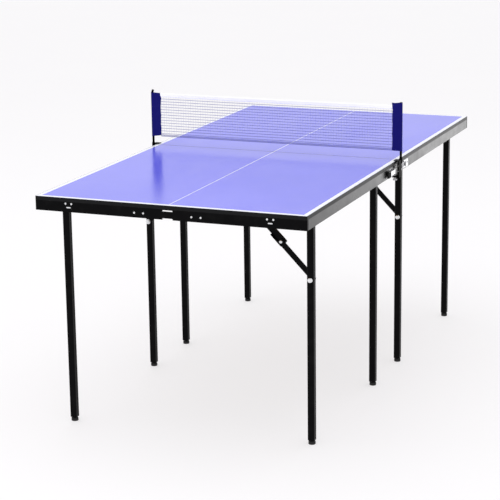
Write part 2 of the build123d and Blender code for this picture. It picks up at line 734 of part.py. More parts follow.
def make_net():
    """The stretched net between the sleeves, as a flat sheet."""
    with BuildPart() as net:
        with BuildSketch(Plane.XY.offset(NET_BOTTOM)):
            Rectangle(2 * NET_HALF_WIDTH, NET_THICKNESS)
        extrude(amount=NET_TOP - NET_BOTTOM)
    return net.part


def make_sleeve():
    """The sewn sleeve that slips over a post."""
    flap = (NET_HALF_WIDTH + 0.5, POST_X)
    with BuildPart() as sleeve:
        with BuildSketch(Plane.XY.offset(NET_BOTTOM)):
            with Locations(((flap[0] + flap[1]) / 2, 0)):
                Rectangle(flap[1] - flap[0], SLEEVE_THICKNESS)
            with Locations((POST_X, 0)):
                Circle(SLEEVE_RADIUS)
                Circle(POST_RADIUS + 0.3, mode=Mode.SUBTRACT)
        extrude(amount=SLEEVE_TOP - NET_BOTTOM)
    return sleeve.part


# ================================================================ write every piece
os.makedirs("parts", exist_ok=True)

board = make_board()
edge_band = make_edge_band()
end_apron = make_end_apron()
net_apron = make_net_apron()
side_apron = make_side_apron()
saddles = make_saddles()
brace_bracket = make_brace_bracket()
for half, place in HALVES.items():
    write(board, f"{half}_board", place)
    write(edge_band, f"{half}_edge_band", place)
    write(end_apron, f"{half}_end_apron", place)
    write(net_apron, f"{half}_net_apron", place)
    write(saddles, f"{half}_fold_saddles", place, place * TURNED)
    write(brace_bracket, f"{half}_brace_brackets", place, place * TURNED)

for name, place in LEG_PLACES.items():
    write(side_apron, f"{name}_side_apron", place)

both_halves = HALVES.values()
all_frames = LEG_PLACES.values()
write(make_gussets(), "corner_gussets", *both_halves)
write(make_cleats(), "board_cleats", *both_halves)
write(make_apron_rivets(), "apron_rivets", *both_halves)
write(make_slot_tabs(), "slot_tabs", *both_halves)
write(make_pivot_pins(), "pivot_pins", *all_frames)

leg_frame = make_leg_frame()
brace_bolt = make_brace_bolt()
lower_link = make_lower_link()
upper_link = make_upper_link()
feet = (make_foot(OUTER_LEG_Y), make_foot(INNER_LEG_Y))
for name, place in LEG_PLACES.items():
    write(leg_frame, f"{name}_leg_frame", place)
    write(brace_bolt, f"{name}_brace_bolt", place)
    write(lower_link, f"{name}_lower_link", place)
    write(upper_link, f"{name}_upper_link", place)
    turned_frame = name in ("near_left", "far_right")
    end_foot, net_foot = reversed(feet) if turned_frame else feet
    write(end_foot, f"{name}_end_foot", place)
    write(net_foot, f"{name}_net_foot", place)

latch_lever = make_latch_lever()
latch_grip = make_latch_grip()
latch_loop = make_latch_loop()
net_clamp = make_net_clamp()
clamp_screw = make_clamp_screw()
net_post = make_net_post()
for side, place in SIDES.items():
    write(latch_lever, f"{side}_latch_lever", place)
    write(latch_grip, f"{side}_latch_grip", place)
    write(latch_loop, f"{side}_latch_loop", place)
    write(net_clamp, f"{side}_net_clamp", place)
    write(clamp_screw, f"{side}_clamp_screw", place)
    write(net_post, f"{side}_net_post", place)

both_sides = SIDES.values()
write(make_latch_base(), "latch_bases", *both_sides)
write(make_latch_keeper(), "latch_keepers", *both_sides)
write(make_net(), "net", Location())
write(make_sleeve(), "net_sleeves", *both_sides)

turn = degrees(atan2(BRACE_DROP, BRACE_REACH))
print(f"brace: lower {LOWER_LINK:.3f}, upper {UPPER_LINK:.3f}, slope {turn:.4f} degrees")
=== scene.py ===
import json
import math
import random

import bmesh
import bpy
from mathutils import Matrix, Vector


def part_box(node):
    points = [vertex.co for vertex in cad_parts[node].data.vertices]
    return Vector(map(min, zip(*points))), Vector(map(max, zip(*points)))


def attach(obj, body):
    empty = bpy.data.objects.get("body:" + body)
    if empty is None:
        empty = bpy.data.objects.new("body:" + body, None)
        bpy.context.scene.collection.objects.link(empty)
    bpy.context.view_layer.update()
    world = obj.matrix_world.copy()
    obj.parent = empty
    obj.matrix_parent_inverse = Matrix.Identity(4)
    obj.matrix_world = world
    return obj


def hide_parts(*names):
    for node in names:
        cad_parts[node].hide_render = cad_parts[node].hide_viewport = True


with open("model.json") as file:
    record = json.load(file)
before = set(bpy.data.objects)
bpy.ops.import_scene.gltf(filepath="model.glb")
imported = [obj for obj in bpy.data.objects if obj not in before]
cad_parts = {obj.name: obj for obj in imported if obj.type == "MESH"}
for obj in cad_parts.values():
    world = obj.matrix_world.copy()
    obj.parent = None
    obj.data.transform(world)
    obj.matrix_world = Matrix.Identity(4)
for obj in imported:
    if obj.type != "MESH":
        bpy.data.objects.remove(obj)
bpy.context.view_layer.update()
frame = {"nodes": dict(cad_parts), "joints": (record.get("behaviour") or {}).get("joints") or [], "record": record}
nodes = frame["nodes"]
MM = 0.001
random.seed(11)


# ================================================================ places, all from the frame
TABLE_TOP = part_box("near_board")[1].z
NET_LOW, NET_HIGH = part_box("net")
SLEEVE_LOW, SLEEVE_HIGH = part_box("net_sleeves")
POST_RADIUS = 4 * MM
POST_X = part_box("right_net_post")[1].x - POST_RADIUS
FRAMES = ("near_right", "near_left", "far_left", "far_right")
HALVES = {"near": -1, "far": 1}
SIDES = {"right": 1, "left": -1}


# ================================================================ mesh helpers
def new_object(name, mesh, material, body):
    """Links a mesh as a piece that rides on a body."""
    piece = bpy.data.objects.new(name, mesh)
    bpy.context.scene.collection.objects.link(piece)
    piece.data.materials.append(material)
    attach(piece, body)
    return piece


def from_bmesh(name, bm, smooth=True):
    """Turns a bmesh into a mesh with outward normals."""
    bmesh.ops.recalc_face_normals(bm, faces=bm.faces)
    mesh = bpy.data.meshes.new(name)
    bm.to_mesh(mesh)
    bm.free()
    for face in mesh.polygons:
        face.use_smooth = smooth
    return mesh


def add_rings(bm, rings, closed=False, capped=True):
    """Skins a list of equal rings of points, end to end."""
    made = [[bm.verts.new(point) for point in ring] for ring in rings]
    pairs = list(zip(made, made[1:]))
    if closed:
        pairs.append((made[-1], made[0]))
    for first, second in pairs:
        count = len(first)
        for i in range(count):
            j = (i + 1) % count
            bm.faces.new((first[i], first[j], second[j], second[i]))
    if capped and not closed:
        bm.faces.new(made[0][::-1])
        bm.faces.new(made[-1])


def ring_about(centre, along, radius, sides, up=Vector((0, 1, 0))):
    """A ring of points about a centre, square to the direction along."""
    first = along.cross(up)
    if first.length < 1e-6:
        first = along.cross(Vector((1, 0, 0)))
    first.normalize()
    second = along.cross(first).normalized()
    turns = [2 * math.pi * i / sides for i in range(sides)]
    return [centre + first * radius * math.cos(t) + second * radius * math.sin(t) for t in turns]


def add_tube(bm, points, radii, sides, closed=False):
    """A round tube along points, with a radius at each one."""
    rings = []
    count = len(points)
    for i, point in enumerate(points):
        before = points[i - 1] if i or closed else point
        after = points[(i + 1) % count] if i < count - 1 or closed else point
        rings.append(ring_about(point, (after - before).normalized(), radii[i], sides))
    add_rings(bm, rings, closed)


def add_lathe(bm, centre, axis, profile, sides=24):
    """Turns a profile of (distance along the axis, radius) about the axis."""
    rings = [ring_about(centre + axis * along, axis, radius, sides) for along, radius in profile]
    add_rings(bm, rings)


# ================================================================ material helpers
class Shader:
    """A new material, with short calls for the nodes that its surface needs."""

    def __init__(self, name, **settings):
        self.material = bpy.data.materials.new(name)
        self.material.use_nodes = True
        self.tree = self.material.node_tree
        self.bsdf = self.tree.nodes["Principled BSDF"]
        self.coords = self.tree.nodes.new("ShaderNodeTexCoord")
        for socket, value in settings.items():
            self.bsdf.inputs[socket.replace("_", " ")].default_value = value

    def add(self, kind, **links):
        """A new node, with each named input linked or set."""
        node = self.tree.nodes.new("ShaderNode" + kind)
        for socket, value in links.items():
            self.feed(node.inputs[socket.replace("_", " ")], value)
        return node

    def feed(self, socket, value):
        """Links another node's output to an input, or sets a plain value."""
        if isinstance(value, bpy.types.NodeSocket):
            self.tree.links.new(value, socket)
        else:
            socket.default_value = value

    def stretched(self, scale):
        """Object coordinates, scaled differently along each axis."""
        mapping = self.add("Mapping", Vector=self.coords.outputs["Object"])
        mapping.inputs["Scale"].default_value = scale
        return mapping.outputs["Vector"]

    def noise(self, scale, detail=3.0, vector=None, roughness=0.55):
        """Cloudy noise, about 0 to 1."""
        place = vector or self.coords.outputs["Object"]
        node = self.add("TexNoise", Vector=place, Scale=scale, Detail=detail, Roughness=roughness)
        return node.outputs["Fac"]

    def cells(self, scale, vector=None):
        """Distance to the nearest cell's centre."""
        place = vector or self.coords.outputs["Object"]
        return self.add("TexVoronoi", Vector=place, Scale=scale).outputs["Distance"]

    def waves(self, scale, direction, distortion=0.0):
        """Parallel bands, 0 to 1."""
        node = self.add("TexWave", Vector=self.coords.outputs["Object"], Scale=scale, Distortion=distortion)
        node.bands_direction = direction
        return node.outputs["Fac"]

    def span(self, value, low, high, to_low, to_high):
        """Maps a value from one range to another, and keeps it there."""
        node = self.add("MapRange", Value=value)
        limits = {"From Min": low, "From Max": high, "To Min": to_low, "To Max": to_high}
        for socket, number in limits.items():
            node.inputs[socket].default_value = number
        return node.outputs["Result"]

    def math(self, operation, a, b):
        """One operation on two values."""
        node = self.tree.nodes.new("ShaderNodeMath")
        node.operation = operation
        self.feed(node.inputs[0], a)
        self.feed(node.inputs[1], b)
        return node.outputs["Value"]

    def mix(self, amount, a, b):
        """Mixes two colours."""
        node = self.tree.nodes.new("ShaderNodeMix")
        node.data_type = "RGBA"
        self.feed(node.inputs["Factor"], amount)
        for socket, value in (("A", a), ("B", b)):
            if isinstance(value, tuple) and len(value) == 3:
                value = (*value, 1.0)
            self.feed([s for s in node.inputs if s.name == socket and s.type == "RGBA"][0], value)
        return [s for s in node.outputs if s.type == "RGBA"][0]

    def edges(self, radius):
        """About 0 on flat areas and 1 along edges."""
        bevel = self.tree.nodes.new("ShaderNodeBevel")
        bevel.samples = 4
        bevel.inputs["Radius"].default_value = radius
        plain = self.tree.nodes.new("ShaderNodeNewGeometry")
        product = self.tree.nodes.new("ShaderNodeVectorMath")
        product.operation = "DOT_PRODUCT"
        self.feed(product.inputs[0], bevel.outputs["Normal"])
        self.feed(product.inputs[1], plain.outputs["Normal"])
        return self.span(product.outputs["Value"], 0.98, 0.8, 0.0, 1.0)

    def bump(self, height, distance, strength=1.0):
        """Adds relief, on top of any that is there."""
        node = self.add("Bump", Height=height, Distance=distance, Strength=strength)
        below = self.bsdf.inputs["Normal"].links
        if below:
            self.feed(node.inputs["Normal"], below[0].from_socket)
        self.feed(self.bsdf.inputs["Normal"], node.outputs["Normal"])

    def finish(self, colour=None, roughness=None):
        """Sets the colour and roughness, and gives the material."""
        if colour is not None:
            if isinstance(colour, tuple) and len(colour) == 3:
                colour = (*colour, 1.0)
            self.feed(self.bsdf.inputs["Base Color"], colour)
        if roughness is not None:
            self.feed(self.bsdf.inputs["Roughness"], roughness)
        return self.material


# ================================================================ materials
WAVE_SCALE = 2 * math.pi / 20  # the wave texture runs 20 radians per unit at scale 1
FLOOR_GLOW = 0.60


def board_paint():
    """Blue lacquer above, brown fibreboard below."""
    s = Shader("board_paint", IOR=1.5)
    broad = s.span(s.noise(2.2, 3.0), 0.35, 0.65, 0.0, 1.0)
    fine = s.span(s.noise(900.0, 2.0), 0.3, 0.7, 0.0, 1.0)
    blue = s.mix(broad, (0.112, 0.118, 0.72), (0.126, 0.130, 0.76))
    blue = s.mix(s.math("MULTIPLY", fine, 0.06), blue, (0.20, 0.21, 0.85))
    ball_marks = s.span(s.noise(26.0, 6.0, roughness=0.75), 0.66, 0.80, 0.0, 0.10)
    blue = s.mix(ball_marks, blue, (0.42, 0.43, 0.80))
    fibres = s.noise(1.0, 4.0, s.stretched((700.0, 120.0, 700.0)))
    brown = s.mix(fibres, (0.19, 0.115, 0.06), (0.33, 0.22, 0.125))
    facing = s.tree.nodes.new("ShaderNodeSeparateXYZ")
    s.feed(facing.inputs["Vector"], s.coords.outputs["Normal"])
    underside = s.math("LESS_THAN", facing.outputs["Z"], -0.5)
    colour = s.mix(underside, blue, brown)
    smears = s.noise(1.0, 4.0, s.stretched((9.0, 3.0, 9.0)))
    gloss = s.span(smears, 0.3, 0.7, 0.15, 0.23)
    roughness = s.math("MAXIMUM", gloss, s.math("MULTIPLY", underside, 0.75))
    s.bump(s.noise(420.0, 2.0), 0.00004, 0.35)
    return s.finish(colour, roughness)


def line_paint():
    """White playing lines, brushed on over the lacquer."""
    s = Shader("line_paint", IOR=1.5)
    worn = s.span(s.noise(60.0, 5.0), 0.56, 0.75, 0.0, 0.22)
    white = s.mix(s.noise(8.0), (0.73, 0.74, 0.80), (0.81, 0.82, 0.87))
    s.bump(s.noise(500.0), 0.00003, 0.4)
    return s.finish(s.mix(worn, white, (0.52, 0.52, 0.80)), s.span(s.noise(40.0), 0.3, 0.7, 0.18, 0.30))


def edge_banding():
    """Black plastic tape with a fine lengthwise grain."""
    s = Shader("edge_banding", IOR=1.17)
    grain = s.noise(1.0, 3.0, s.stretched((60.0, 60.0, 1800.0)))
    rubbed = s.math("MULTIPLY", s.edges(0.0007), s.span(s.noise(45.0, 4.0), 0.45, 0.7, 0.0, 0.5))
    colour = s.mix(grain, (0.004, 0.004, 0.0045), (0.012, 0.012, 0.013))
    s.bump(grain, 0.00005, 0.3)
    return s.finish(s.mix(rubbed, colour, (0.10, 0.10, 0.10)), s.span(grain, 0.3, 0.7, 0.30, 0.42))


def powder_coat(name, refraction):
    """Black powder coat with orange peel, thinner and paler along worn edges."""
    s = Shader(name, IOR=refraction)
    peel = s.noise(650.0, 2.0)
    cloudy = s.noise(14.0, 4.0)
    black = s.mix(cloudy, (0.0010, 0.0010, 0.0012), (0.0032, 0.0030, 0.0035))
    chips = s.span(s.noise(120.0, 5.0), 0.52, 0.66, 0.0, 0.55)
    worn = s.math("MULTIPLY", s.edges(0.0009), chips)
    dust = s.span(s.noise(30.0, 6.0), 0.5, 0.8, 0.0, 0.018)
    colour = s.mix(dust, s.mix(worn, black, (0.11, 0.108, 0.105)), (0.16, 0.15, 0.14))
    s.bump(peel, 0.00012, 0.35)
    return s.finish(colour, s.span(cloudy, 0.3, 0.7, 0.26, 0.38))


def zinc_plate():
    """Bright zinc with faint spangle and dull spots."""
    s = Shader("zinc_plate", Metallic=1.0)
    spangle = s.cells(260.0)
    dull = s.span(s.noise(90.0, 5.0), 0.5, 0.75, 0.0, 1.0)
    colour = s.mix(spangle, (0.86, 0.86, 0.87), (0.66, 0.67, 0.69))
    s.bump(s.noise(800.0), 0.00004, 0.3)
    return s.finish(s.mix(s.math("MULTIPLY", dull, 0.5), colour, (0.46, 0.45, 0.42)),
                    s.span(dull, 0.0, 1.0, 0.16, 0.42))


def chrome_plate():
    """Chrome with smudges and a little buffing."""
    s = Shader("chrome_plate", Metallic=1.0)
    smudges = s.noise(70.0, 5.0)
    buffing = s.noise(1.0, 2.0, s.stretched((400.0, 400.0, 3000.0)))
    colour = s.mix(smudges, (0.48, 0.48, 0.49), (0.32, 0.32, 0.34))
    s.bump(buffing, 0.00002, 0.25)
    return s.finish(colour, s.span(smudges, 0.35, 0.7, 0.06, 0.24))


def moulded_plastic(name, rough, dusty):
    """Black moulded plastic with a spark-eroded grain."""
    s = Shader(name, IOR=1.3)
    grain = s.cells(1100.0)
    cloudy = s.noise(35.0, 4.0)
    colour = s.mix(cloudy, (0.006, 0.006, 0.0063), (0.014, 0.014, 0.0145))
    scuffs = s.math("MULTIPLY", s.edges(0.0012), s.span(s.noise(150.0, 4.0), 0.5, 0.7, 0.0, 0.6))
    colour = s.mix(scuffs, colour, (0.12, 0.12, 0.12))
    if dusty:
        height = s.tree.nodes.new("ShaderNodeSeparateXYZ")
        s.feed(height.inputs["Vector"], s.coords.outputs["Object"])
        low = s.span(height.outputs["Z"], 0.0, 0.005, 0.16, 0.0)
        colour = s.mix(s.math("MULTIPLY", low, cloudy), colour, (0.30, 0.28, 0.25))
    s.bump(grain, 0.0001, 0.35)
    return s.finish(colour, s.span(cloudy, 0.3, 0.7, rough - 0.06, rough + 0.08))


def net_cord():
    """Twisted blue-grey nylon."""
    s = Shader("net_cord", IOR=1.4)
    plies = s.waves(900.0, "DIAGONAL", 2.0)
    faded = s.noise(18.0, 4.0)
    colour = s.mix(plies, (0.035, 0.038, 0.24), (0.085, 0.09, 0.38))
    s.bump(plies, 0.0002, 0.5)
    return s.finish(s.mix(s.math("MULTIPLY", faded, 0.3), colour, (0.24, 0.25, 0.52)), 0.55)


def woven(name, dark, light, pitch, sheen):
    """Plain-woven cloth: warp and weft threads, with slubs, a faint sheen and painted crease shade."""
    s = Shader(name, IOR=1.2)
    s.bsdf.inputs["Sheen Weight"].default_value = sheen
    s.bsdf.inputs["Sheen Roughness"].default_value = 0.45
    warp = s.waves(WAVE_SCALE / pitch, "X", 0.6)
    weft = s.waves(WAVE_SCALE / pitch, "Z", 0.6)
    weave = s.math("MULTIPLY", warp, weft)
    slubs = s.noise(1.0, 4.0, s.stretched((1500.0, 1500.0, 160.0)))
    # painted shade: cloudy patches where creases would be shaded
    crease_shade = s.noise(22.0, 4.0)
    colour = s.mix(weave, dark, light)
    colour = s.mix(s.math("MULTIPLY", slubs, 0.25), colour, light)
    # painted crease shade: those patches are darkened towards the darker thread colour
    colour = s.mix(s.math("MULTIPLY", crease_shade, 0.3), colour, dark)
    s.bump(s.math("ADD", weave, s.math("MULTIPLY", slubs, 0.4)), 0.00018, 0.6)
    return s.finish(colour, s.span(slubs, 0.3, 0.7, 0.55, 0.75))


def floor_paint():
    """A pale floor that gives off light of its own, so that its shadows stay soft and light."""
    s = Shader("studio_floor", IOR=1.2)
    s.bsdf.inputs["Emission Color"].default_value = (1.0, 0.99, 1.0, 1.0)
    s.bsdf.inputs["Emission Strength"].default_value = FLOOR_GLOW
    shade = s.mix(s.noise(1.5, 3.0), (0.325, 0.320, 0.330), (0.335, 0.330, 0.340))
    s.bump(s.noise(60.0), 0.0002, 0.1)
    return s.finish(shade, 0.7)


BOARD = board_paint()
LINES = line_paint()
EDGES = edge_banding()
# PAINT and MATT_PAINT bend light less than real paint does, to match how dark the photo's metal is.
PAINT = powder_coat("powder_coat", 1.13)
SIDE_PAINT = powder_coat("satin_powder_coat", 1.56)
MATT_PAINT = powder_coat("matt_powder_coat", 1.05)
ZINC = zinc_plate()
CHROME = chrome_plate()
GRIP = moulded_plastic("grip_plastic", 0.42, dusty=False)
FOOT = moulded_plastic("foot_plastic", 0.50, dusty=True)
NET_CORD = net_cord()
TAPE_GLOW = 0.13  # the tape gives off a little light of its own, to be as white as in the photo
TAPE = woven("tape_cotton", (0.90, 0.90, 0.94), (0.97, 0.97, 0.99), 0.0009, 0.15)
TAPE.node_tree.nodes["Principled BSDF"].inputs["Emission Color"].default_value = (1.0, 1.0, 1.0, 1.0)
TAPE.node_tree.nodes["Principled BSDF"].inputs["Emission Strength"].default_value = TAPE_GLOW
SEAM = woven("seam_thread", (0.30, 0.31, 0.42), (0.46, 0.47, 0.60), 0.0008, 0.1)
SLEEVE = woven("sleeve_nylon", (0.004, 0.004, 0.10), (0.009, 0.008, 0.19), 0.0010, 0.01)
SLOT_MATERIALS = {
    "board": BOARD,
    "edge_band": EDGES,
    "frame_paint": PAINT,
    "zinc": ZINC,
    "chrome": CHROME,
    "grip": GRIP,
    "foot": FOOT,
    "net": NET_CORD,
    "sleeve": SLEEVE,
}
OWN_FINISH = {"side_apron": SIDE_PAINT, "net_post": MATT_PAINT, "net_clamp": MATT_PAINT}


def slot_of(node):
    """The material slot that the record gives a CAD node."""
    rows = frame["record"]["subparts"]
    return next(row["material_slot"] for row in rows if row["node"] == node)


def dress_cad_nodes():
    """Gives every CAD node its material, by its own finish or else by its slot."""
    for name, node in nodes.items():
        endings = [ending for ending in OWN_FINISH if name.endswith(ending)]
        material = OWN_FINISH[endings[0]] if endings else SLOT_MATERIALS[slot_of(name)]
        node.data.materials.clear()
        node.data.materials.append(material)


dress_cad_nodes()


# ================================================================ playing lines
LINE_WIDTH = 15 * MM
CENTRE_LINE_WIDTH = 2.6 * MM
LINE_PROUD = 0.12 * MM
LINE_SUNK = 0.4 * MM
LINE_INSET = 0.15 * MM
NET_CORNER = 7 * MM
END_CORNER = 2 * MM


def corner_arc(centre, radius, start, steps=6):
    """A quarter circle, counter-clockwise from the start angle in degrees."""
    angles = [math.radians(start + 90 * i / steps) for i in range(steps + 1)]
    return [centre + Vector((math.cos(a), math.sin(a))) * radius for a in angles]


def slab(bm, outline):
    """A thin closed layer of paint over the board, from a flat outline."""
    low, high = TABLE_TOP - LINE_SUNK, TABLE_TOP + LINE_PROUD
    bottom = [bm.verts.new((p.x, p.y, low)) for p in outline]
    top = [bm.verts.new((p.x, p.y, high)) for p in outline]
    bm.faces.new(bottom[::-1])
    bm.faces.new(top)
    for i, corner in enumerate(bottom):
        j = (i + 1) % len(bottom)
        bm.faces.new((corner, bottom[j], top[j], top[i]))


def add_border(bm, low, high, outward):
    """The U of side and end lines of one half. Outward is the end's direction along Y."""
    x = high.x - LINE_INSET
    end = (high.y if outward > 0 else -low.y) - LINE_INSET
    net = (low.y if outward > 0 else -high.y) - LINE_INSET
    outer = corner_arc(Vector((x - NET_CORNER, net + NET_CORNER)), NET_CORNER, 270)
    outer += corner_arc(Vector((x - END_CORNER, end - END_CORNER)), END_CORNER, 0)
    outer += corner_arc(Vector((END_CORNER - x, end - END_CORNER)), END_CORNER, 90)
    outer += corner_arc(Vector((NET_CORNER - x, net + NET_CORNER)), NET_CORNER, 180)
    inner = [(LINE_WIDTH - x, net), (LINE_WIDTH - x, end - LINE_WIDTH)]
    inner += [(x - LINE_WIDTH, end - LINE_WIDTH), (x - LINE_WIDTH, net)]
    outline = outer + [Vector(point) for point in inner]
    slab(bm, [Vector((p.x, p.y * outward)) for p in outline])


def make_lines(half, outward):
    """The border and centre line of one half."""
    low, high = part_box(f"{half}_board")
    bm = bmesh.new()
    add_border(bm, low, high, outward)
    near_net, far_end = sorted((abs(low.y), abs(high.y)))
    half_width = CENTRE_LINE_WIDTH / 2
    ends = (near_net + LINE_INSET, far_end - LINE_WIDTH - LINE_INSET)
    corners = [(-half_width, ends[0]), (half_width, ends[0]), (half_width, ends[1]), (-half_width, ends[1])]
    slab(bm, [Vector((x, y * outward)) for x, y in corners])
    mesh = from_bmesh(f"{half}_playing_lines", bm, smooth=False)
    new_object(f"{half}_playing_lines", mesh, LINES, "table")


for half, outward in HALVES.items():
    make_lines(half, outward)


# ================================================================ frame fittings
JOINTS = {joint["name"]: joint for joint in frame["joints"]}
LEG_TUBE = 22 * MM
BEAD_RADIUS = 1.1 * MM
BEAD_HALF_SIDE = 10.7 * MM
BEAD_CORNER = 3.2 * MM
BEAD_PITCH = 1.3 * MM
BEAD_RIPPLE = 0.16  # every second ring of a bead is fuller by this share
BEAD_UNEVENNESS = 0.08
BAR_HALF_THICKNESS = 1.5 * MM
RIVET_RADIUS = 5.3 * MM
RIVET_HEIGHT = 2.85 * MM
GRIP_RIBS = 6
RIB_MARGIN = 4 * MM
RIB_RADII = [0.35 * MM, 0.8 * MM, 0.9 * MM, 0.8 * MM, 0.35 * MM]


def dome(radius, height, steps=8):
    """The profile of a full domed rivet head, from its rim to its crown."""
    turns = [math.pi / 2 * i / steps for i in range(steps)]
    rim = [(0.0, radius * 0.96), (height * 0.18, radius)]
    crown = [(height * (0.18 + 0.82 * math.sin(t)), radius * math.cos(t) ** 0.7) for t in turns[1:]]
    return rim + crown + [(height, radius * 0.08)]


def brace_rivet_place(name):
    """Where the two links of a brace meet, on the face of the lower link, and the way it faces."""
    bolt = Vector(JOINTS[f"{name}_lower_swing"]["pos_m"])
    bracket = Vector(JOINTS[f"{name}_upper_swing"]["pos_m"])
    reach, drop = abs(bracket.x - bolt.x), bracket.z - bolt.z
    length = math.hypot(reach, drop)
    lower_share = (length + drop - reach) / 2 / length
    outward = Vector((0, math.copysign(1.0, bolt.y - bracket.y), 0))
    meeting = bolt + (bracket - bolt) * lower_share
    return Vector((meeting.x, bolt.y, meeting.z)) + outward * BAR_HALF_THICKNESS, outward


def make_brace_rivet(name):
    """The domed rivet at the middle of a brace. It rides on the lower link."""
    place, outward = brace_rivet_place(name)
    bm = bmesh.new()
    add_lathe(bm, place, outward, dome(RIVET_RADIUS, RIVET_HEIGHT))
    mesh = from_bmesh(f"{name}_brace_rivet", bm)
    new_object(f"{name}_brace_rivet", mesh, ZINC, f"{name}_lower_link")


def rounded_square(half_side, corner, steps=5):
    """Points round a square with rounded corners, as (across, up)."""
    points = []
    for start, x, z in ((0, 1, 1), (90, -1, 1), (180, -1, -1), (270, 1, -1)):
        centre = Vector((x * (half_side - corner), z * (half_side - corner)))
        points += corner_arc(centre, corner, start, steps)
    return points


def make_weld_beads(name):
    """The rippled weld beads where the cross tube meets the two legs."""
    low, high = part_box(f"{name}_leg_frame")
    x, z = (low.x + high.x) / 2, high.z - LEG_TUBE / 2
    bm = bmesh.new()
    for y in (low.y + LEG_TUBE, high.y - LEG_TUBE):
        path = []
        outline = rounded_square(BEAD_HALF_SIDE, BEAD_CORNER)
        for i, start in enumerate(outline):
            end = outline[(i + 1) % len(outline)]
            pieces = max(1, round((end - start).length / BEAD_PITCH))
            path += [start.lerp(end, k / pieces) for k in range(pieces)]
        points = [Vector((x + p.x, y, z + p.y)) for p in path]
        swells = []
        for i in range(len(points)):
            uneven = random.uniform(-BEAD_UNEVENNESS, BEAD_UNEVENNESS)
            swells.append(1.0 + BEAD_RIPPLE * (i % 2) + uneven)
        add_tube(bm, points, [BEAD_RADIUS * swell for swell in swells], 8, closed=True)
    mesh = from_bmesh(f"{name}_weld_beads", bm)
    new_object(f"{name}_weld_beads", mesh, PAINT, f"{name}_legs")


def make_grip_ribs(name, side):
    """Raised finger ribs on the outer face of a latch grip."""
    low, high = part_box(f"{name}_latch_grip")
    face = high.x if side > 0 else low.x
    z_low, z_high = low.z + RIB_MARGIN, high.z - RIB_MARGIN
    bm = bmesh.new()
    for i in range(GRIP_RIBS):
        y = low.y + (high.y - low.y) * (i + 1.2) / (GRIP_RIBS + 1.4)
        start, end = Vector((face, y, z_low)), Vector((face, y, z_high))
        points = [start.lerp(end, k / (len(RIB_RADII) - 1)) for k in range(len(RIB_RADII))]
        add_tube(bm, points, RIB_RADII, 8)
    mesh = from_bmesh(f"{name}_grip_ribs", bm)
    new_object(f"{name}_grip_ribs", mesh, GRIP, f"{name}_latch_lever")


for name in FRAMES:
    make_brace_rivet(name)
    make_weld_beads(name)
for name, side in SIDES.items():
    make_grip_ribs(name, side)


# ================================================================ net
MESH_PITCH = 9.4 * MM
STRAND_RADIUS = 0.66 * MM
UPRIGHT_RADIUS = 0.20 * MM
KNOT_RADIUS = 0.80 * MM
BOTTOM_ROWS = (2.6 * MM, 5.2 * MM)
BOTTOM_STRAND_RISE = 1.2 * MM
END_GAP = MM
RIPPLE = 0.45 * MM
TAPE_DEPTH = 13 * MM
TAPE_SAG = 1.2 * MM
TAPE_STEPS = 150
TAPE_FULL = 1.45 * MM  # half thickness over the head cord
TAPE_FLAT = 0.95 * MM  # half thickness below it
UNDER_TAPE = 2 * MM  # how far the top strand and the seam stand above the tape's lower edge
STITCH_RADII = [0.16 * MM, 0.28 * MM, 0.16 * MM]
STITCH_DIP = 0.35 * MM
SEAM_REACH = 0.9 * MM
SEAM_PITCH = 5.5 * MM
SEAM_MARGIN = 3 * MM
CORD_STEPS = 180
CORD_RISE = 1.0 * MM
SEWN_IN = 4 * MM  # how far the net runs on into its sleeves
PINCHED = 12 * MM  # how far from its ends the tape starts to flatten


def sag_at(x, z):
    """How far the net hangs below its straight line, most at mid-span and at the top."""
    across = 1 - (x / NET_HIGH.x) ** 2
    up = (z - NET_LOW.z) / (NET_HIGH.z - NET_LOW.z)
    return TAPE_SAG * across * up


def ripple_at(x, z):
    """The net's small lean out of its plane."""
    still = (x / NET_HIGH.x) ** 6
    return RIPPLE * (1 - still) * (math.sin(x * 23 + z * 31) + 0.6 * math.sin(x * 61 - z * 17))


def net_point(x, z):
    """A point of the net as it hangs."""
    return Vector((x, ripple_at(x, z), z - sag_at(x, z)))


def make_netting():
    """The knotted mesh: long strands with knots, and thin uprights."""
    bm = bmesh.new()
    columns = round((NET_HIGH.x - NET_LOW.x) / MESH_PITCH)
    step = (NET_HIGH.x - NET_LOW.x - 2 * END_GAP) / columns
    first_x = NET_LOW.x + END_GAP
    bottom = NET_LOW.z + BOTTOM_STRAND_RISE
    top = NET_HIGH.z - TAPE_DEPTH + UNDER_TAPE
    rows = round((top - bottom) / MESH_PITCH)
    heights = [bottom + (top - bottom) * i / rows for i in range(rows + 1)]
    heights[1:1] = [bottom + rise for rise in BOTTOM_ROWS]
    places = [first_x + step * i / 2 for i in range(2 * columns + 1)]
    places = [places[0] - SEWN_IN] + places + [places[-1] + SEWN_IN]
    for z in heights:
        points = [net_point(x, z) for x in places]
        radii = [STRAND_RADIUS if i % 2 else KNOT_RADIUS for i in range(len(points))]
        add_tube(bm, points, radii, 5)
    for column in range(columns + 1):
        x = first_x + step * column
        points = [net_point(x, z) for z in heights]
        add_tube(bm, points, [UPRIGHT_RADIUS] * len(points), 4)
    netting = new_object("netting", from_bmesh("netting", bm), NET_CORD, "table")
    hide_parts("net")
    return netting


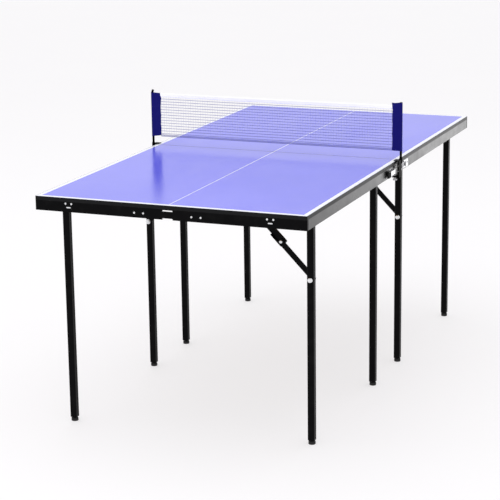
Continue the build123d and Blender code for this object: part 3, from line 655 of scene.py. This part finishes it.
def tape_ring(x, sides=14):
    """One cross-section of the folded top tape: full over its head cord, flat below."""
    ring = []
    wobble = 0.35 * MM * math.sin(x * 47) + 0.25 * MM * math.sin(x * 111)
    depth = TAPE_DEPTH + 0.5 * MM * math.sin(x * 33)
    top = NET_HIGH.z - 0.2 * MM
    to_end = NET_HIGH.x + SEWN_IN - abs(x)
    pinch = min(1.0, 0.3 + 0.7 * to_end / PINCHED)
    for i in range(sides):
        turn = 2 * math.pi * i / sides
        down = (1 - math.cos(turn)) / 2
        full = pinch * (TAPE_FULL if down < 0.3 else TAPE_FLAT)
        height = top - depth * down**0.85
        y = math.copysign(min(abs(math.sin(turn)) * 2.2, 1.0) * full, math.sin(turn))
        ring.append(Vector((x, y + wobble * down * 0.4 + ripple_at(x, height), height - sag_at(x, height))))
    return ring


def make_tape():
    """The folded white tape along the net's top edge."""
    bm = bmesh.new()
    low, high = NET_LOW.x - SEWN_IN, NET_HIGH.x + SEWN_IN
    add_rings(bm, [tape_ring(low + (high - low) * i / TAPE_STEPS) for i in range(TAPE_STEPS + 1)])
    return new_object("net_top_tape", from_bmesh("net_top_tape", bm), TAPE, "table")


def make_stitches(name, z_of, reach, pitch, span, material):
    """A row of stitches on both faces of the cloth."""
    bm = bmesh.new()
    count = int((span[1] - span[0]) / pitch)
    for i in range(count):
        x = span[0] + pitch * (i + 0.2)
        for side in (-1, 1):
            z = z_of(x)
            y = ripple_at(x, z) + side * reach
            start = Vector((x, y - side * STITCH_DIP, z))
            middle = Vector((x + pitch * 0.3, y, z))
            end = Vector((x + pitch * 0.6, y - side * STITCH_DIP, z))
            add_tube(bm, [start, middle, end], STITCH_RADII, 5)
    return new_object(name, from_bmesh(name, bm), material, "table")


def tape_seam_height(x):
    """How high the tape's seam runs."""
    height = NET_HIGH.z - TAPE_DEPTH + UNDER_TAPE
    return height - sag_at(x, height)


def make_bottom_cord():
    """The thicker cord bound into the net's bottom edge."""
    bm = bmesh.new()
    low, high = NET_LOW.x - SEWN_IN / 2, NET_HIGH.x + SEWN_IN / 2
    steps = range(CORD_STEPS + 1)
    points = [net_point(low + (high - low) * i / CORD_STEPS, NET_LOW.z + CORD_RISE) for i in steps]
    radii = [0.85 * MM + 0.12 * MM * (i % 2) for i in steps]
    add_tube(bm, points, radii, 6)
    return new_object("net_bottom_cord", from_bmesh("net_bottom_cord", bm), NET_CORD, "table")


netting = make_netting()
tape = make_tape()
seam_span = (NET_LOW.x + SEAM_MARGIN, NET_HIGH.x - SEAM_MARGIN)
seam = make_stitches("net_tape_seam", tape_seam_height, SEAM_REACH, SEAM_PITCH, seam_span, SEAM)
bottom_cord = make_bottom_cord()


# ================================================================ sleeves
SLEEVE_CLOTH = 0.7 * MM
POST_CLEAR = 5.1 * MM
SLEEVE_STEPS = 34
SIDE_POINTS = 9
TURN_POINTS = 7
SLEEVE_LOW_X = NET_HIGH.x + 0.5 * MM  # the inner edge, just past the net
GIRTH_RING = 8  # the ring where the flat size is measured
HEM_LEVELS = (0.004, 0.996)
HEM_RADIUS = 0.55 * MM
HEM_PROUD = 0.1 * MM
SLEEVE_HEIGHT = SLEEVE_HIGH.z - SLEEVE_LOW.z


def sleeve_width(side, inner, up):
    """How far the sleeve's inner edge stands from the post, with its pulls and puckers."""
    pucker = 0.5 * MM * math.sin(up * 19 + side) + 0.3 * MM * math.sin(up * 43)
    if side > 0:
        pull = 1.5 * MM * math.exp(-(((1 - up) / 0.06) ** 2)) - 1.0 * MM
    else:
        bulge = math.exp(-(((up - 0.87) / 0.045) ** 2))
        pull = 2.4 * MM * bulge - 0.3 * MM - 1.6 * MM * max(0, up - 0.93) / 0.07
    return inner - 0.8 * MM + pucker + pull


def sleeve_ring(side, up):
    """One level of the sleeve: two cloth faces from the inner edge, joined round the post."""
    inner = POST_X - SLEEVE_LOW_X
    reach = sleeve_width(side, inner, up)
    z = SLEEVE_LOW.z + (SLEEVE_HEIGHT - 0.4 * MM) * up
    points = []
    for i in range(SIDE_POINTS):
        along = i / SIDE_POINTS
        flat = 1.1 * MM + 0.9 * MM * math.sin(math.pi * along) * (1 + 0.35 * math.sin(up * 27 + along * 6))
        y = flat * (1 - along**3) + POST_CLEAR * along**3
        points.append((-reach * (1 - along), -y))
    for i in range(TURN_POINTS):
        turn = math.radians(-90 + 180 * i / (TURN_POINTS - 1))
        points.append((POST_CLEAR * math.cos(turn), POST_CLEAR * math.sin(turn)))
    points += [(x, -y * 0.96) for x, y in points[SIDE_POINTS - 1::-1]]
    ring = []
    for x, y in points:
        slant = bottom_slant(side, x / inner) * (1 - up) + top_slant(side, x / inner) * up
        ring.append(Vector(((POST_X + x) * side, y, z + slant)))
    return ring


def bottom_slant(side, across):
    """How far the bottom edge is lifted. Across is 0 at the post and -1 at the inner edge."""
    return 0.0 if side > 0 else -4.2 * MM * across


def top_slant(side, across):
    """How far the top edge is lifted: the right sleeve covers its post's tip."""
    if side > 0:
        return 8.5 * MM * (1 + 0.45 * across) + 2.2 * MM * max(0.0, -across - 0.7) / 0.3
    return 1.0 * MM * across - 0.3 * MM


def make_sleeve(name, side):
    """A cloth sleeve over a post, and its length round."""
    bm = bmesh.new()
    rings = [sleeve_ring(side, i / SLEEVE_STEPS) for i in range(SLEEVE_STEPS + 1)]
    add_rings(bm, rings, capped=False)
    mesh = from_bmesh(f"{name}_sleeve", bm)
    sleeve = new_object(f"{name}_sleeve", mesh, SLEEVE, "table")
    cloth = sleeve.modifiers.new("cloth", "SOLIDIFY")
    cloth.thickness = SLEEVE_CLOTH
    cloth.offset = -1.0
    smooth = sleeve.modifiers.new("smooth", "SUBSURF")
    smooth.levels = smooth.render_levels = 1
    girth = rings[GIRTH_RING]
    round_it = sum((a - b).length for a, b in zip(girth, girth[1:] + girth[:1]))
    return sleeve, round_it


def make_sleeve_hem(name, side, up):
    """The folded and stitched hem at an end of a sleeve."""
    bm = bmesh.new()
    ring = sleeve_ring(side, up)
    centre = sum(ring, Vector()) / len(ring)
    points = [point + (point - centre).normalized() * HEM_PROUD for point in ring]
    add_tube(bm, points, [HEM_RADIUS] * len(points), 6, closed=True)
    return new_object(f"{name}_sleeve_hem_{'top' if up > 0.5 else 'bottom'}",
                      from_bmesh("hem", bm), SLEEVE, "table")


for name, side in SIDES.items():
    sleeve, round_it = make_sleeve(name, side)
    hems = [make_sleeve_hem(name, side, up) for up in HEM_LEVELS]
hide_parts("net_sleeves")


# ================================================================ stage, light, camera
FLOOR_RADIUS = 40.0
CAMERA_PLACE = (2.18, -5.6433, 1.9404)
CAMERA_YAW, CAMERA_PITCH, CAMERA_ROLL = -0.3831, 0.2464, -0.0131
CAMERA_LENS, CAMERA_SENSOR = 127.49, 36.0


def make_floor():
    """A wide floor, which is stage and no piece of the table."""
    bm = bmesh.new()
    bmesh.ops.create_circle(bm, cap_ends=True, segments=96, radius=FLOOR_RADIUS)
    floor = bpy.data.objects.new("floor", from_bmesh("floor", bm, smooth=False))
    bpy.context.scene.collection.objects.link(floor)
    floor.data.materials.append(floor_paint())


def make_world():
    """A pale studio, white behind and overhead and dimmer towards the camera."""
    world = bpy.data.worlds.new("studio")
    bpy.context.scene.world = world
    world.use_nodes = True
    tree = world.node_tree
    background = tree.nodes["Background"]
    coords = tree.nodes.new("ShaderNodeTexCoord")
    split = tree.nodes.new("ShaderNodeSeparateXYZ")
    ramp = tree.nodes.new("ShaderNodeMapRange")
    for socket, value in (("From Min", -0.9), ("From Max", 0.1), ("To Min", 0.90), ("To Max", 0.985)):
        ramp.inputs[socket].default_value = value
    tree.links.new(coords.outputs["Generated"], split.inputs["Vector"])
    tree.links.new(split.outputs["Y"], ramp.inputs["Value"])
    tree.links.new(ramp.outputs["Result"], background.inputs["Strength"])
    background.inputs["Color"].default_value = (1.0, 1.0, 1.0, 1.0)


def make_light(name, place, target, size, power):
    """A rectangular area light that the camera doesn't see."""
    light = bpy.data.lights.new(name, "AREA")
    light.shape = "RECTANGLE"
    light.size, light.size_y = size
    light.energy = power
    lamp = bpy.data.objects.new(name, light)
    bpy.context.scene.collection.objects.link(lamp)
    lamp.location = place
    lamp.rotation_mode = "QUATERNION"
    lamp.rotation_quaternion = (Vector(target) - Vector(place)).to_track_quat("-Z", "Y")
    lamp.visible_camera = False
    return lamp


def make_camera():
    """The photograph's viewing angle: seen from the near end, a little from the right."""
    yaw, pitch, roll = CAMERA_YAW, CAMERA_PITCH, CAMERA_ROLL
    forward = Vector((math.sin(yaw) * math.cos(pitch), math.cos(yaw) * math.cos(pitch), -math.sin(pitch)))
    level = forward.cross(Vector((0, 0, 1))).normalized()
    upright = level.cross(forward)
    right = level * math.cos(roll) + upright * math.sin(roll)
    above = upright * math.cos(roll) - level * math.sin(roll)
    camera = bpy.data.objects.new("camera", bpy.data.cameras.new("camera"))
    bpy.context.scene.collection.objects.link(camera)
    turn = Matrix((right, above, -forward)).transposed().to_4x4()
    camera.matrix_world = Matrix.Translation(CAMERA_PLACE) @ turn
    camera.data.sensor_width = CAMERA_SENSOR
    camera.data.lens = CAMERA_LENS
    camera.data.clip_end = 100.0
    bpy.context.scene.camera = camera


make_floor()
make_world()
make_light("overhead", (-0.6, 0.0, 4.0), (0, 0, 0.7), (5.0, 5.0), 60.0)
side_panel = make_light("side_panel", (1.9, 2.6, 0.45), (0.45, 0.0, 0.6), (2.4, 0.8), 9.0)
side_panel.visible_diffuse = False
front_fill = make_light("front_fill", (0.6, -3.0, 1.25), (0.0, 0.0, 0.94), (1.4, 0.4), 13.0)
front_fill.visible_glossy = False
make_camera()
bpy.context.scene.view_settings.view_transform = "Standard"
